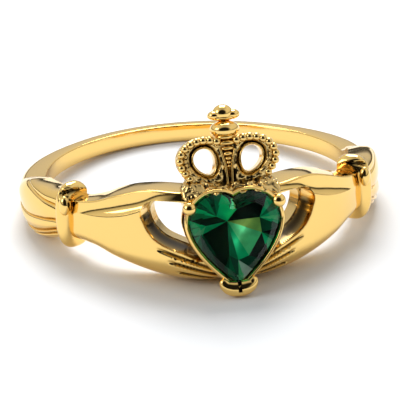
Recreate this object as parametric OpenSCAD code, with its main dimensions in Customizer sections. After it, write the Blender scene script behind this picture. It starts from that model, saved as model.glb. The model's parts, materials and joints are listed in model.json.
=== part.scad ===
// Claddagh ring: two hands hold a crowned heart stone on a plain finger band.
// Ring frame: finger axis along z, heart towards -y, origin on the finger axis
// at half the height of the plain band. Heart frame and crown frame: x across,
// y up along the face, z out of the face. The last step lays the ring down on
// the hands' lower edges and the back of the band.

/* [Finger band] */
// Inner diameter, a US size 7
finger_d = 17.3; // [15:0.1:20]
// Height of the plain band at the back, along the finger
band_w = 1; // [0.8:0.05:1.6]
// Thickness of the plain band
band_t = 0.95; // [0.8:0.05:1.2]

/* [Sleeves] */
// Where a sleeve runs out into the band, in degrees from the heart
sleeve_end = 98; // [92:1:110]
// Thickness of a sleeve over the finger hole
sleeve_t = 1.7; // [1.3:0.05:2]
// Height of a sleeve above the middle of the band
sleeve_up = 1.6; // [1.3:0.05:1.9]
// Depth of a sleeve below the middle of the band
sleeve_down = 1.7; // [1.3:0.05:1.9]
// Depth of the grooves between the pleats
pleat_h = 0.16; // [0.08:0.02:0.24]

/* [Cuffs] */
// Place of each cuff, in degrees from the heart
cuff_at = 58; // [54:1:64]
// Diameter of the round cuff bar
cuff_d = 1.05; // [0.8:0.05:1.2]
// Height of a cuff above the middle of the band
cuff_up = 2.15; // [1.8:0.05:2.5]
// Depth of a cuff below the middle of the band
cuff_down = 1.65; // [1.4:0.05:2]

/* [Hands] */
// Thickness of the palms over the finger hole
hand_t = 2; // [1.6:0.05:2.4]
// Height of the thumbs above the middle of the band
hand_up = 2.7; // [2.3:0.05:3]
// Depth of the fingers below the middle of the band
hand_down = 2.75; // [2.4:0.05:3]
// Width of the grooves between the fingers
groove_w = 0.14; // [0.08:0.02:0.22]

/* [Heart stone] */
// Width of the stone
stone_w = 5.1; // [4.6:0.1:5.6]
// Height of the stone from its tip to its lobes
stone_h = 5.25; // [4.8:0.1:5.8]
// Height of the facets above the girdle
stone_top = 0.72; // [0.5:0.02:0.9]
// Depth of the facets below the girdle
stone_deep = 2.1; // [1.6:0.05:2.3]
// Thickness of the girdle
girdle_t = 0.1; // [0.06:0.02:0.2]

/* [Heart setting] */
// Height of the girdle over the finger hole
seat_h = 2.85; // [2.6:0.05:3.2]
// Lean of the stone's face towards the back
heart_lean = 8; // [4:1:12]
// Wall of the setting outside the girdle
lip_t = 0.2; // [0.15:0.01:0.3]
// Diameter of the two ball claws
ball_d = 0.68; // [0.5:0.02:0.8]
// Diameter of the bar that makes the V claw at the tip
v_claw_d = 0.72; // [0.6:0.02:0.9]
// Clearance around the stone
stone_gap = 0.04; // [0.02:0.01:0.08]

/* [Crown] */
// Width over the two arches
crown_w = 5.95; // [5.4:0.05:6.4]
// Height from the crown's foot to the top of the arches
crown_h = 3.2; // [2.8:0.05:3.6]
// Lean of the crown towards the back
crown_lean = 14; // [8:1:20]
// Thickness of the pierced plate
crown_t = 0.75; // [0.5:0.05:1]
// Diameter of the beads along the arches
bead_d = 0.44; // [0.36:0.02:0.52]
// Width of the orb on top of the arches
orb_w = 1.54; // [1.3:0.02:1.7]
// Width of the knob above the orb
knob_w = 1.66; // [1.4:0.02:1.8]

/* [Hidden] */

gold = "goldenrod";
green = "darkgreen";

bore_r = finger_d / 2;
band_r = bore_r + band_t;
bury = 0.3;               // depth to which relief runs inside the bore before it is cut
band_bury = 6;            // degrees by which the band runs into the sleeves
liner_step = 0.02;        // how far the relief's inner wall stands back from the liner
liner_from = 37;          // degrees from the heart where the liner starts
liner_t = 0.45 * band_t;  // thickness of the liner
cuff_proud = 0.15;        // how far a cuff stands over its sleeve
seat_r = bore_r + seat_h;
stone_half = stone_w / 2;
heart_at = asin(stone_half / seat_r);
crown_r = seat_r - 0.9;   // distance of the crown's face from the finger axis
crown_z = hand_up - 0.3;  // height of the crown's foot

// Outline of the heart as shares of its half width, up from the girdle's middle.
lobe_r = 0.647;        // radius of a lobe
lobe_x = 0.353;        // distance of a lobe's middle from the centre line
lobe_y = 0.433;        // height of a lobe's middle
pull_x = 0.96;         // the point that the side's curve bends towards
pull_y = -0.19;
tip_y = lobe_y + lobe_r - 2 * stone_h / stone_w;

// Laying down: the floor touches the lower edge of both hands and of the band's back.
band_round = 0.36 * band_w;       // rounding of the band's outer edges
rest_y = bore_r + 0.22 * hand_t;  // the hands' lowest line, from the finger axis
rest_z = hand_down * 1.003;       // and its depth
rest_back = band_r - band_round;
claw_y = seat_r - tip_y * stone_half * sin(heart_lean) + v_claw_d / 2;
lie_tilt = atan((rest_z - band_w / 2) / (rest_y + rest_back));
lie_z = rest_back * sin(lie_tilt) + band_w / 2 * cos(lie_tilt);
front_y = claw_y * cos(lie_tilt) + 0.93 * hand_down * sin(lie_tilt);
back_y = band_r * cos(lie_tilt);

// Hand sections. at: share of the way from the cuff to the heart's side.
// low: depth as a share of hand_down. high: height as a share of hand_up.
// face: thickness as a share of hand_t.
//            at     low    high   face
palm = [
    [-0.05, -0.42, 0.50,  0.66],
    [0.16, -0.42,  0.52,  0.74],
    [0.27, -0.46,  0.50,  0.82],
    [0.40, -0.56,  0.46,  0.89],
    [0.54, -0.69,  0.40,  0.96],
    [0.64, -0.80,  0.36,  0.99],
    [0.70, -0.85,  0.24,  1.01],
    [0.77, -0.91,  0.05,  1.04],
    [0.84, -0.95, -0.11,  1.07],
    [0.91, -0.975, -0.22, 1.10],
    [0.99, -0.995, -0.32, 1.14],
    [1.08, -1.01, -0.44,  1.20],
    [1.17, -0.99, -0.60,  1.24],
    [1.26, -0.95, -0.72,  1.22]
];
//            at     low    high   face
thumb = [
    [-0.03, 0.10,  0.51,  0.60],
    [0.16,  0.14,  0.55,  0.70],
    [0.30,  0.20,  0.64,  0.80],
    [0.44,  0.27,  0.76,  0.86],
    [0.56,  0.31,  0.88,  0.90],
    [0.66,  0.36,  0.96,  0.94],
    [0.74,  0.50,  1.00,  0.98],
    [0.82,  0.69,  1.00,  1.02],
    [0.90,  0.75,  0.99,  1.05],
    [1.00,  0.74,  0.98,  1.06]
];
// The low ledge between the pierced gap and the first finger.
//            at     low    high   face
ledge = [
    [0.64, -0.10,  0.62,  0.60],
    [0.70, -0.22,  0.34,  0.60],
    [0.76, -0.34,  0.10,  0.60],
    [0.83, -0.44, -0.08,  0.60],
    [0.90, -0.50, -0.20,  0.62],
    [0.98, -0.58, -0.28,  0.66],
    [1.06, -0.62, -0.36,  0.70]
];
// Hollow behind the pierced gap, open to the finger.
//            at     low    high   face
scoop = [
    [0.56,  0.12,  0.44,  0.20],
    [0.66, -0.10,  0.66,  0.44],
    [0.76, -0.26,  0.76,  0.50],
    [0.90, -0.36,  0.80,  0.52],
    [1.06, -0.42,  0.80,  0.52]
];
// Finger grooves. from, to: shares of the way from the cuff to the heart's side.
// high_from, high_to: heights of the two ends as shares of hand_down. sag: drop of the middle
// as a share of hand_down. width: share of groove_w. depth: share of hand_t.
//              from  to   high_from high_to  sag   width  depth
finger_grooves = [
    [0.70, 1.00,  0.16, -0.37, 0.05, 1.8, 0.16],
    [0.78, 1.14, -0.24, -0.62, 0.00, 1.0, 0.11],
    [0.85, 1.16, -0.47, -0.77, 0.00, 1.0, 0.11],
    [0.89, 1.16, -0.70, -0.90, 0.00, 1.0, 0.11]
];

// Sleeve sections. at: share of the way from the cuff to sleeve_end.
// low, high: shares of sleeve_down and sleeve_up. face: share of sleeve_t.
//            at     low    high   face
sleeve = [
    [-0.045, -0.68, 1.00, 0.94],
    [0.08, -0.70,  1.00,  0.97],
    [0.22, -0.84,  0.95,  1.00],
    [0.36, -0.96,  0.93,  1.00],
    [0.50, -1.00,  0.89,  1.00],
    [0.62, -0.92,  0.84,  1.00],
    [0.74, -0.70,  0.70,  0.99],
    [0.86, -0.46,  0.48,  0.97],
    [0.97, -0.34,  0.38,  0.93],
    [1.06, -0.28,  0.30,  0.86]
];
pleat_edges = [0, 0.19, 0.35, 0.60, 0.79, 1];  // shares of the sleeve's height, from below

// Arch of the crown, as shares of crown_w / 2 and crown_h, from the orb outwards.
//             x      y
arch_pull = [
    [0.10,  0.93],
    [0.62,  1.02],
    [1.20,  0.86],
    [0.76,  0.22]
];
bead_count = 11;
arch_top = 0.93;          // height at which the two arches meet, as a share of the crown's
bead_turn = [35, 50, 10];  // lean of a bead's poles away from the plate's face

// The band grows thicker towards each sleeve.
shoulder_grow = 0.5;   // share of band_t gained
shoulder_from = 145;   // degrees from the heart where the growth starts
shoulder_run = 45;     // degrees over which it grows

// Points and curves.
function around(r, a, z) = [r * sin(a), -r * cos(a), z];
function power(v, e) = sign(v) * pow(abs(v), e);
function catmull(a, b, c, d, t) =
    0.5 * (2 * b + (c - a) * t + (2 * a - 5 * b + 4 * c - d) * t * t
    + (3 * b - a - 3 * c + d) * t * t * t);
function row_at(table, u) =
    let (n = len(table) - 1, i = min(floor(u), n - 1), t = u - i,
        a = table[max(i - 1, 0)], b = table[i], c = table[i + 1], d = table[min(i + 2, n)])
    [for (k = [0:len(b) - 1]) catmull(a[k], b[k], c[k], d[k], t)];
function refined(table, steps) = [for (j = [0:steps * (len(table) - 1)]) row_at(table, j / steps)];
function bezier(p, t) =
    p[0] * pow(1 - t, 3) + p[1] * 3 * t * pow(1 - t, 2) + p[2] * 3 * t * t * (1 - t) + p[3] * t * t * t;

// A closed solid through rings of equally many points.
module skin(rings) {
    n = len(rings[0]);
    m = len(rings);
    sides = [for (j = [0:m - 2], i = [0:n - 1])
        [j * n + i, j * n + (i + 1) % n, (j + 1) * n + (i + 1) % n, (j + 1) * n + i]];
    first = [for (i = [n - 1:-1:0]) i];
    last = [for (i = [0:n - 1]) (m - 1) * n + i];
    polyhedron(points = [for (r = rings) each r], faces = concat(sides, [first, last]), convexity = 6);
}

// Rounded section of relief between two heights, from inside the bore out to a thickness.
function section(low, high, out, count, deep, e = 2.7) =
    [for (i = [0:count - 1])
        let (t = 360 * i / count, mid = bore_r + (out - deep) / 2, half = (out + deep) / 2)
        [mid + half * power(cos(t), 2 / e), (low + high) / 2 + (high - low) / 2 * power(sin(t), 2 / e)]];
function hand_angle(share) = cuff_at + (heart_at - cuff_at) * share;

module relief(table, steps, count, deep) {
    rows = refined(table, steps);
    skin([for (k = [len(rows) - 1:-1:0])
        let (r = rows[k], low = r[1] * (r[1] < 0 ? hand_down : hand_up), high = r[2] * (r[2] < 0 ? hand_down : hand_up))
        [for (p = section(low, high, r[3] * hand_t, count, deep)) around(p.x, hand_angle(r[0]), p.y)]]);
}

// Finger band between the sleeves, thicker towards them, with its outer edges rounded over.
function ease(t) = let (c = max(0, min(1, t))) c * c * (3 - 2 * c);
function band_out(a) =
    bore_r + band_t * (1 + shoulder_grow * ease((shoulder_from - min(a, 360 - a)) / shoulder_run));
module finger_band() {
    steps = 22;
    half = 180 - (sleeve_end - band_bury);
    skin([for (k = [0:steps])
        let (a = 180 + half - 2 * half * k / steps)
        concat([around(bore_r - 1.2 * bury, a, -band_w / 2), around(bore_r - 1.2 * bury, a, band_w / 2)],
            [for (t = [90:-18:18]) around(band_out(a) - band_round + band_round * cos(t), a,
                band_w / 2 - band_round + band_round * sin(t))],
            [for (t = [-18:-18:-90]) around(band_out(a) - band_round + band_round * cos(t), a,
                band_round - band_w / 2 + band_round * sin(t))])]);
}

// Pleated sleeve, whose scallops run from the cuff to the band.
function scallop(w) =
    let (i = max([for (k = [0:len(pleat_edges) - 2]) w >= pleat_edges[k] ? k : 0]),
        a = pleat_edges[i], b = pleat_edges[i + 1])
    abs(sin(180 * (w - a) / (b - a)));
module sleeve_side() {
    per_pleat = 4;
    marks = [for (k = [0:len(pleat_edges) - 2], j = [0:per_pleat - 1])
        pleat_edges[k] + (pleat_edges[k + 1] - pleat_edges[k]) * j / per_pleat];
    skin([for (r = refined(sleeve, 2))
        let (a = cuff_at + (sleeve_end - cuff_at) * r[0], low = r[1] * sleeve_down, high = r[2] * sleeve_up,
            out = r[3] * sleeve_t, fade = min(1, max(0, (1.05 - r[0]) / 0.3)))
        concat(
            [around(bore_r - 1.5 * bury, a, high - 0.2 * sleeve_up), around(bore_r - 1.5 * bury, a, low)],
            [for (w = concat(marks, [1]))
                let (round = pow(1 - pow(abs(2 * w - 1), 4), 1 / 4))
                around(bore_r + (out - pleat_h) * (0.5 + 0.5 * round) + pleat_h * fade * scallop(w) * round,
                    a, low + (high - low) * w)])]);
}

// Cuff: a round collar over the front of the wrist, open to the bore.
module cuff_side() {
    core = cuff_d / 2;
    skin([for (t = [-90:22.5:90])
        let (g = core * cos(t), a = cuff_at + core * sin(t) / (bore_r + sleeve_t) * 180 / PI)
        [for (p = section(core - cuff_down - g, cuff_up - core + g, sleeve_t + cuff_proud - core + g, 24, 1.9 * bury))
            around(p.x, a, p.y)]]);
}

// Grooves that part the fingers, cut from the palm's face.
module finger_groove(row) {
    n = 6;
    skin([for (i = [n:-1:0])
        let (s = i / n, share = row[0] + (row[1] - row[0]) * s, a = hand_angle(share),
            z = hand_down * (row[2] + (row[3] - row[2]) * s - row[4] * 4 * s * (1 - s)),
            face = bore_r + hand_t * lookup(share, [for (p = palm) [p[0], p[3]]]),
            deep = row[6] * hand_t * min(1, 0.15 + 3 * s))
        [around(face + 1, a, z + row[5] * groove_w * 2), around(face - deep, a, z),
            around(face + 1, a, z - row[5] * groove_w * 2)]]);
}

module hand_side() {
    difference() {
        union() {
            relief(palm, 2, 24, bury);
            relief(thumb, 2, 16, 1.7 * bury);
            relief(ledge, 1, 12, 1.3 * bury);
        }
        for (row = finger_grooves) finger_groove(row);
        relief(scoop, 1, 12, 2.2 * bury);
    }
}

// Outline of the heart, grown outwards by some clearance.
function heart_edge(steps) =
    let (r = lobe_r, open = acos(lobe_x / lobe_r))
    concat(
        [for (i = [0:steps - 1]) let (t = 180 - open - (180 - open) * i / steps)
            [lobe_x + r * cos(t), lobe_y + r * sin(t)]],
        [for (i = [0:steps - 1]) let (t = i / steps)
            [lobe_x + r, lobe_y] * pow(1 - t, 2) + [pull_x, pull_y] * 2 * t * (1 - t) + [0, tip_y] * t * t]);
function heart_half(steps) = [for (p = heart_edge(steps)) p * stone_half];
function heart_outline(steps) =
    let (right = heart_half(steps), n = len(right))
    concat(right, [[0, tip_y * stone_half]], [for (i = [n - 1:-1:1]) [-right[i].x, right[i].y]]);
function grown(points, by) =
    [for (i = [0:len(points) - 1])
        let (n = len(points), d = points[(i + 1) % n] - points[(i + n - 1) % n], out = [-d.y, d.x] / norm(d))
        points[i] + out * by];

// The cut stone: a flat table, two tiers of crown facets, a girdle and deep facets to a point.
module stone_shape(grow, steps = 5) {
    edge = grown(heart_outline(steps), grow);
    n = len(edge);
    heart_mid = [0, 0.06 * stone_half];
    culet = [0, 0.16 * stone_half];
    //         inset  height of each ring of points
    tiers = [
        [0.58, stone_top + grow],
        [0.80, 0.62 * stone_top + grow],
        [1.00, girdle_t / 2],
        [1.00, -girdle_t / 2],
        [0.62, -0.50 * stone_deep - grow]
    ];
    rings = [for (k = [0:len(tiers) - 1])
        let (half_step = (k == 1 || k == 4) ? 0.5 : 0)
        [for (i = [0:n - 1])
            let (p = edge[i] * (1 - half_step) + edge[(i + 1) % n] * half_step,
                q = heart_mid + (p - heart_mid) * tiers[k][0])
            [q.x, q.y, tiers[k][1]]]];
    points = concat([for (r = rings) each r], [[culet.x, culet.y, -stone_deep - grow]]);
    last = len(tiers) * n;
    function zig(k, i) = [[k * n + i, (k + 1) * n + i, k * n + (i + 1) % n],
        [k * n + (i + 1) % n, (k + 1) * n + i, (k + 1) * n + (i + 1) % n]];
    function zag(k, i) = [[k * n + i, (k + 1) * n + i, (k + 1) * n + (i + 1) % n],
        [k * n + i, (k + 1) * n + (i + 1) % n, k * n + (i + 1) % n]];
    faces = concat(
        [[for (i = [0:n - 1]) i]],
        [for (i = [0:n - 1]) each zig(0, i)],
        [for (i = [0:n - 1]) each zag(1, i)],
        [for (i = [0:n - 1]) [2 * n + i, 3 * n + i, 3 * n + (i + 1) % n, 2 * n + (i + 1) % n]],
        [for (i = [0:n - 1]) each zig(3, i)],
        [for (i = [0:n - 1]) [4 * n + i, last, 4 * n + (i + 1) % n]]);
    polyhedron(points = points, faces = faces, convexity = 4);
}

module heart_frame() {
    translate([0, -seat_r, 0]) rotate([90 - heart_lean, 0, 0]) children();
}

// Heart-shaped setting: an upper lip, a waist and a lower wall down to the bore.
module setting() {
    edge = heart_outline(7);
    //        from   to     outside the girdle, size
    walls = [
        [-0.55, -0.02, lip_t,       1.00],
        [-1.05, -0.50, 0.02,        1.00],
        [-1.70, -1.00, 0.8 * lip_t, 1.00],
        [-3.20, -1.60, 0,           0.86]
    ];
    for (w = walls)
        translate([0, 0, w[0]]) linear_extrude(height = w[1] - w[0]) polygon(grown(edge, w[2]) * w[3]);
}
module setting_hollow() {
    translate([0, 0, -4]) linear_extrude(height = 4) polygon(grown(heart_outline(5), -0.75));
}
module ball_claws() {
    reach = stone_half + 0.22 * ball_d;
    for (side = [-1, 1])
        translate([side * 0.965 * stone_half, 0.8 * stone_half, 0]) {
            translate([0, 0, 0.28 * ball_d]) sphere(d = ball_d, $fn = 32);
            translate([0, 0, -3]) cylinder(h = 3.1, d = 0.78 * ball_d, $fn = 24);
        }
}
module v_claw() {
    tip = [0, tip_y * stone_half, 0];
    leg = 0.24 * stone_half;
    rise = 0.15 * stone_half;
    drop = 0.06;
    for (side = [-1, 1])
        translate(tip - [0, drop, 0]) {
            translate([side * leg, rise, 0]) sphere(d = v_claw_d + 0.02, $fn = 32);
            rotate([0, 0, atan2(rise, side * leg)]) rotate([0, 90, 0])
                cylinder(h = norm([leg, rise]), d = v_claw_d, $fn = 24);
        }
    translate(tip - [0, drop, 0]) sphere(d = v_claw_d + 0.02, $fn = 32);
    translate(tip + [0, 0.1, -1]) cylinder(h = 1, d = 0.8 * v_claw_d, $fn = 24);
}
module v_claw_slit() {
    slit_w = 0.16;
    translate([-slit_w / 2, tip_y * stone_half - 0.25, -0.1]) cube([slit_w, 0.6, 1]);
}

module crown_frame() {
    translate([0, -crown_r, crown_z]) rotate([90 - crown_lean, 0, 0]) children();
}
function crown_pt(p) = [p[0] * crown_w / 2, p[1] * crown_h];
// A leaning egg shape, narrower at its foot.
function egg(middle, half_w, half_h, lean, taper, count) =
    [for (i = [0:count - 1])
        let (t = 360 * i / count, w = half_w * (1 + taper * sin(t)) * cos(t), h = half_h * sin(t))
        middle + [w * cos(lean) + h * sin(lean), -w * sin(lean) + h * cos(lean)]];
function crown_hole(grow) =
    egg(crown_pt([0.42, 0.60]), 0.2 * crown_w / 2 + grow, 0.225 * crown_h + grow, 22, 0.22, 20);
function arch_pts(count) =
    [for (i = [0:count - 1]) bezier([for (p = arch_pull) crown_pt(p)], i / (count - 1))];

module crown_side() {
    arch = arch_pts(bead_count);
    outer = arch_pts(15);
    foot = [crown_pt([0.84, 0]), crown_pt([0, 0])];
    rim_t = 0.16;
    // pierced plate inside the beaded arch
    translate([0, 0, -crown_t])
        linear_extrude(height = crown_t) difference() {
            polygon(concat([crown_pt([0, arch_top])], outer, foot));
            polygon(crown_hole(0));
        }
    // smooth rim around the pierced hole
    translate([0, 0, -crown_t - 0.08])
        linear_extrude(height = crown_t + 0.2) difference() {
            polygon(crown_hole(rim_t));
            polygon(crown_hole(0));
        }
    for (p = arch) translate([p.x, p.y, -0.1]) rotate(bead_turn) sphere(d = bead_d, $fn = 24);
}
module crown_middle() {
    // stack of beads on the pillar, smaller downwards
    for (k = [0:3])
        translate(concat(crown_pt([0, 0.85 - 0.12 * k]), 0.02)) sphere(d = bead_d * (1.15 - 0.15 * k), $fn = 24);
    // orb: a flattened ball turned about the crown's upright
    orb_h = 0.6 * orb_w;
    orb_y = arch_top * crown_h + 0.5 * bead_d;
    neck = 0.42 * orb_h + 1.2 * bead_d;
    translate([0, orb_y, -crown_t / 2]) {
        translate([0, 0.42 * orb_h, 0]) rotate([-90, 0, 0]) rotate_extrude($fn = 48)
            polygon([for (t = [-90:15:90]) [orb_w / 2 * cos(t), orb_h / 2 * sin(t)]]);
        // neck down into the plate, and the collar under the knob
        translate([0, 0.42 * orb_h - neck, 0]) rotate([-90, 0, 0]) cylinder(h = neck, d = 0.34 * orb_w, $fn = 24);
        translate([0, 0.8 * orb_h, 0]) rotate([-90, 0, 0]) cylinder(h = 0.4 * orb_h, d = 0.4 * orb_w, $fn = 24);
    }
    // knob: a dome between two lobes
    translate([0, orb_y + 1.16 * orb_h, -crown_t / 2]) {
        translate([0, 0.06 * knob_w, 0]) rotate(bead_turn) sphere(d = 0.56 * knob_w, $fn = 32);
        for (side = [-1, 1])
            translate([side * 0.32 * knob_w, 0, 0]) rotate([90, 0, side * 20]) sphere(d = 0.36 * knob_w, $fn = 24);
    }
}
// Foot of the crown, which follows the lobes of the heart and meets the thumbs.
module crown_foot() {
    foot_w = 0.84 * crown_w;
    translate([-foot_w / 2, -0.2 * crown_h, -crown_t - 0.35]) cube([foot_w, 0.3 * crown_h, crown_t + 0.35]);
}

module lie() {
    translate([0, (front_y - back_y) / 2, lie_z]) rotate([-lie_tilt, 0, 0]) children();
}

// Finger hole through the relief, a hair wider than the liner.
module bore_cut() {
    sides = 128;
    tall = 12;
    translate([0, 0, -tall / 2]) linear_extrude(height = tall)
        polygon([for (i = [0:sides - 1]) (bore_r + liner_step) * [sin(360 * i / sides), cos(360 * i / sides)]]);
}
// Round inner wall of the band, open at the front where the hands are pierced.
module liner() {
    rotate([0, 0, liner_from - 90]) rotate_extrude(angle = 360 - 2 * liner_from, $fn = 180)
        translate([bore_r, -band_w / 2 + liner_step]) square([liner_t, band_w - 2 * liner_step]);
}

module ring_body() {
    color(gold) lie() {
        difference() {
            union() {
                finger_band();
                for (side = [0, 1]) mirror([side, 0, 0]) {
                    sleeve_side();
                    cuff_side();
                    hand_side();
                }
                heart_frame() {
                    setting();
                    ball_claws();
                    v_claw();
                }
                crown_frame() {
                    for (side = [0, 1]) mirror([side, 0, 0]) crown_side();
                    crown_middle();
                    crown_foot();
                }
            }
            bore_cut();
            heart_frame() {
                stone_shape(stone_gap);
                setting_hollow();
                v_claw_slit();
            }
        }
        liner();
    }
}

module heart_stone() {
    color(green) lie() heart_frame() stone_shape(0);
}

ring_body();
heart_stone();
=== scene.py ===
import bpy, json, math
import numpy as np
from mathutils import Matrix, Vector, noise


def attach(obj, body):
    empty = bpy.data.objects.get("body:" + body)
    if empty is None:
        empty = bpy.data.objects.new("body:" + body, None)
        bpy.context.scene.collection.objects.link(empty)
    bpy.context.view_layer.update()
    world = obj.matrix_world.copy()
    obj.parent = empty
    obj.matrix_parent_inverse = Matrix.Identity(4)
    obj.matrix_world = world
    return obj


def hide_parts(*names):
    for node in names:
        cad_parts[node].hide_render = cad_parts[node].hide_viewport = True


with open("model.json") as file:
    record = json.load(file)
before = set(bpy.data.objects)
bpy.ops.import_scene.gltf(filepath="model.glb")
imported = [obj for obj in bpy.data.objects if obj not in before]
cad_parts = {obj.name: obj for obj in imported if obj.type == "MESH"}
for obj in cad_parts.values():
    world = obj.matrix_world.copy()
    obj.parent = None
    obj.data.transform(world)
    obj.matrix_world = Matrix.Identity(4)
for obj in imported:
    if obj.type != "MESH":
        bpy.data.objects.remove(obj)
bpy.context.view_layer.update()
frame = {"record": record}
bpy.ops.object.select_all(action="DESELECT")
print("frame loaded")

# All forms are made in millimetres in the ring's own frame: finger axis along z, heart towards -y.
bore = frame["record"]["mounts"][0]    # the finger hole, as the ring lies
boreR, lieBack = bore["dims"]["r_mm"], 7.02343    # mm, degrees that the ring leans back as it lies
toRow = (Matrix.Scale(0.001, 4) @ Matrix.Translation([1000 * p for p in bore["pos_m"]])
         @ Matrix.Rotation(-math.radians(lieBack), 4, "X"))
heartAt, heartLean = 11.5, 82    # the heart's distance from the finger axis, its face's lean
heartFrame = Matrix.Translation((0, -heartAt, 0)) @ Matrix.Rotation(math.radians(heartLean), 4, "X")
crownAt, crownLean = (0, -10.6, 2.4), 76    # the middle of the crown's foot, its face's lean
crownFrame = Matrix.Translation(crownAt) @ Matrix.Rotation(math.radians(crownLean), 4, "X")


def pickOnly(obj):
    if bpy.context.object and bpy.context.object.mode != "OBJECT":
        bpy.ops.object.mode_set(mode="OBJECT")
    bpy.ops.object.select_all(action="DESELECT")
    obj.select_set(True)
    bpy.context.view_layer.objects.active = obj


def applyAll(obj):
    pickOnly(obj)
    for m in list(obj.modifiers):
        bpy.ops.object.modifier_apply(modifier=m.name)


def outward(obj, weld=1e-5):    # doubles merged, faces turned outwards
    pickOnly(obj)
    bpy.ops.object.mode_set(mode="EDIT")
    bpy.ops.mesh.select_all(action="SELECT")
    bpy.ops.mesh.remove_doubles(threshold=weld)
    bpy.ops.mesh.normals_make_consistent(inside=False)
    bpy.ops.object.mode_set(mode="OBJECT")


def smoothed(obj, angle=40):
    pickOnly(obj)
    bpy.ops.object.shade_smooth_by_angle(angle=math.radians(angle))
    applyAll(obj)


def meshPiece(name, verts, faces):
    me = bpy.data.meshes.new(name)
    me.from_pydata([tuple(v) for v in verts], [], [tuple(f) for f in faces])
    me.update()
    obj = bpy.data.objects.new(name, me)
    bpy.context.collection.objects.link(obj)
    return obj


def loft(name, rings, closed=False, marks=None):    # rings: sections x points x 3
    rings = np.asarray(rings, float)
    m, n = rings.shape[:2]
    faces = [(j * n + i, j * n + (i + 1) % n, (j + 1) % m * n + (i + 1) % n, (j + 1) % m * n + i)
             for j in range(m if closed else m - 1) for i in range(n)]
    if not closed:
        faces += [tuple(range(n)), tuple((m - 1) * n + i for i in range(n))]
    obj = meshPiece(name, rings.reshape(-1, 3), faces)
    for mark, values in (marks or {}).items():    # painted before doubles go
        paint = obj.data.attributes.new(mark, "FLOAT", "POINT")
        paint.data.foreach_set("value", np.asarray(values, np.float32).ravel())
    outward(obj)
    return obj


def joined(name, parts):
    pickOnly(parts[0])
    for p in parts[1:]:
        p.select_set(True)
    if len(parts) > 1:
        bpy.ops.object.join()
    parts[0].name = parts[0].data.name = name
    return parts[0]


def moved(obj, matrix):
    obj.data.transform(matrix)
    if matrix.determinant() < 0:
        obj.data.flip_normals()
    obj.data.update()
    return obj


def copied(obj, matrix, name):
    c = obj.copy()
    c.data = obj.data.copy()
    c.name = c.data.name = name
    bpy.context.collection.objects.link(c)
    return moved(c, matrix)


def cutAway(obj, cutter):
    m = obj.modifiers.new("cut", "BOOLEAN")
    m.operation, m.solver, m.object = "DIFFERENCE", "EXACT", cutter
    applyAll(obj)
    bpy.data.objects.remove(cutter)


def catmullRows(table, steps):
    t = np.asarray(table, float)
    n = len(t) - 1
    out = []
    for u in np.linspace(0, n, n * steps + 1):
        i = min(int(u), n - 1)
        f = u - i
        a, b, c, d = t[max(i - 1, 0)], t[i], t[i + 1], t[min(i + 2, n)]
        out.append(0.5 * (2 * b + (c - a) * f + (2 * a - 5 * b + 4 * c - d) * f * f
                          + (3 * b - a - 3 * c + d) * f ** 3))
    return np.array(out)


def readRows(table, at):    # the table's columns at given shares, smoothly
    rows = catmullRows(table, 12)
    return [np.interp(at, rows[:, 0], rows[:, k]) for k in range(1, rows.shape[1])]


def aroundAxis(r, a, z):
    a = np.radians(a)
    return np.stack([r * np.sin(a), -r * np.cos(a), z + 0 * a], -1)


def dome(x, e):    # superellipse: share of full height at x from -1 to 1
    return np.clip(1 - np.abs(x) ** e, 0, None) ** (1 / e)


def ball(x, y, z, size, segments=24):    # flattened bead at its place
    bpy.ops.mesh.primitive_uv_sphere_add(segments=segments, ring_count=segments * 7 // 12, radius=1,
                                         location=(x, y, z), scale=size)
    obj = bpy.context.object
    bpy.ops.object.transform_apply(location=True, rotation=True, scale=True)
    return obj


mirrorX = Matrix.Scale(-1, 4, (1, 0, 0))
goldPieces = []


bandForm = {
    "width": 1.0, "thick": 0.95, "edge": 0.36, "innerEdge": 0.07, "sections": 200,
    "grow": 0.5, "growFrom": 145, "growRun": 45,    # share it grows by at the sleeves, over these degrees
}


def makeBand():
    f = bandForm
    rings = []
    for a in np.linspace(90, 270, f["sections"]):
        g = np.clip((f["growFrom"] - min(a, 360 - a)) / f["growRun"], 0, 1)
        out = boreR + f["thick"] * (1 + f["grow"] * g * g * (3 - 2 * g))
        h, e, c = f["width"] / 2, f["edge"], f["innerEdge"]
        prof = [(boreR + c - c * math.cos(t), h - c + c * math.sin(t)) for t in np.radians([0, 30, 60, 90])]
        prof += [(out - e + e * math.cos(t), h - e + e * math.sin(t))
                 for t in np.radians(np.linspace(90, 0, 9))]
        prof += [(r, -z) for r, z in prof[::-1]]
        rings.append([aroundAxis(r, a, z) for r, z in prof])
    band = loft("finger_band", rings)
    smoothed(band, 50)
    goldPieces.append(band)


sleeveForm = {
    "from": 58, "to": 98, "thick": 1.7, "up": 1.6, "down": 1.7, "square": 3.4, "lip": 0.42,
    "foldDeep": 0.13, "foldWide": 0.048, "foldShade": 0.6, "swell": 0.09,
    # the folds' lines: share of the height at the cuff, change along the sleeve, bend
    "folds": [(0.16, -0.17, 0), (0.245, -0.20, 0), (0.42, 0.10, -0.30), (0.70, 0.42, 0)],
    #          at    low    high   face
    "rows": [(-0.06, -0.68, 1.00, 0.94), (0.08, -0.70, 1.00, 0.97), (0.22, -0.84, 0.95, 1.00),
             (0.36, -0.96, 0.93, 1.00), (0.50, -1.00, 0.89, 1.00), (0.62, -0.92, 0.84, 1.00),
             (0.74, -0.70, 0.70, 0.99), (0.86, -0.46, 0.48, 0.97), (0.97, -0.34, 0.38, 0.93),
             (1.06, -0.28, 0.30, 0.86)],
}


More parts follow.
